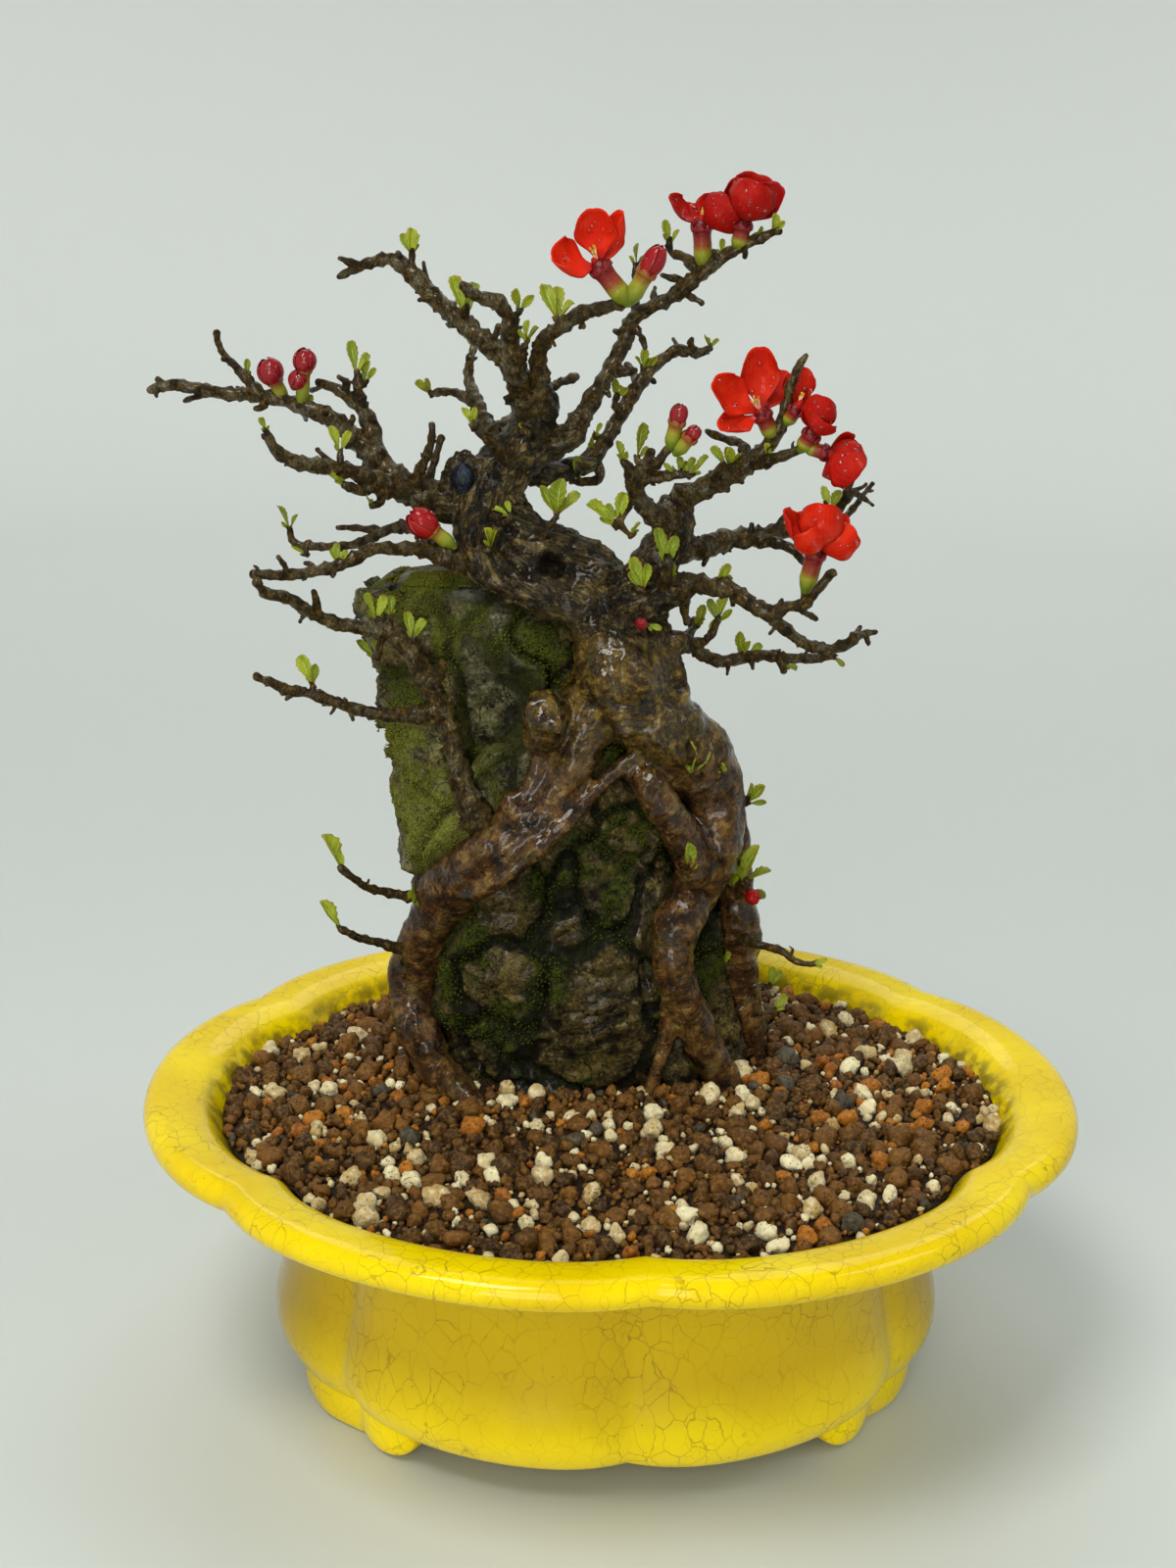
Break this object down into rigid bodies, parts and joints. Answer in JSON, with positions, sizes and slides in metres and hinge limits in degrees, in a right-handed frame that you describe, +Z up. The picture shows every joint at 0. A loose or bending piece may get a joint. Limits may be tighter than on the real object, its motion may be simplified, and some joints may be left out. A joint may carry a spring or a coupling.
{
  "type": "potted bonsai tree",
  "caption": "Dwarf flowering quince bonsai, its roots clasping an upright rock, with scarlet blooms, in a glazed yellow lobed oval pot.",
  "frame": {"origin": "on the ground under the middle of the pot", "axes": "+Z up, X along the pot's long side, -Y towards the tree's front"},
  "size_m": [0.1982, 0.1716, 0.2547],
  "materials": {
    "glaze": "glossy yellow glaze with a fine crackle",
    "soil": "damp granules of baked clay and pumice",
    "rock": "damp dark rock with moss",
    "bark": "damp wrinkled bark, with green leaves",
    "petal": "soft scarlet petals",
    "seal": "dark cut paste",
    "mesh": "plastic net",
    "wire": "brown anodised wire"
  },
  "bodies": {
    "root": {"pot": "glaze", "soil": "soil", "rock": "rock", "trunk_and_roots": "bark", "wound_seal_left": "seal", "wound_seal_top": "seal", "drain_screen_left": "mesh", "drain_screen_right": "mesh", "screen_wire_left": "wire", "screen_wire_right": "wire", "bough_high_left": "bark", "bough_left_fork": "bark", "bough_middle_left": "bark", "bough_rock_left": "bark", "bough_crown_left": "bark", "bough_crown_front": "bark", "bough_twin_flower": "bark", "bough_top_right": "bark", "bough_back_right": "bark", "bough_bud_cluster": "bark", "bough_long_right": "bark", "bough_lower_right": "bark", "bough_flower_right": "bark", "bough_low_right": "bark", "bough_rear": "bark", "bloom_upper_left": "petal", "bloom_top": "petal", "bloom_top_right": "petal", "bloom_right_open": "petal", "bloom_right_behind": "petal", "bloom_right_half": "petal", "bloom_right_far": "petal", "bloom_lower_right": "petal", "bud_left_1": "petal", "bud_left_2": "petal", "bud_middle": "petal", "bud_twin": "petal", "bud_cluster_1": "petal", "bud_cluster_2": "petal"}
  },
  "joints": []
}
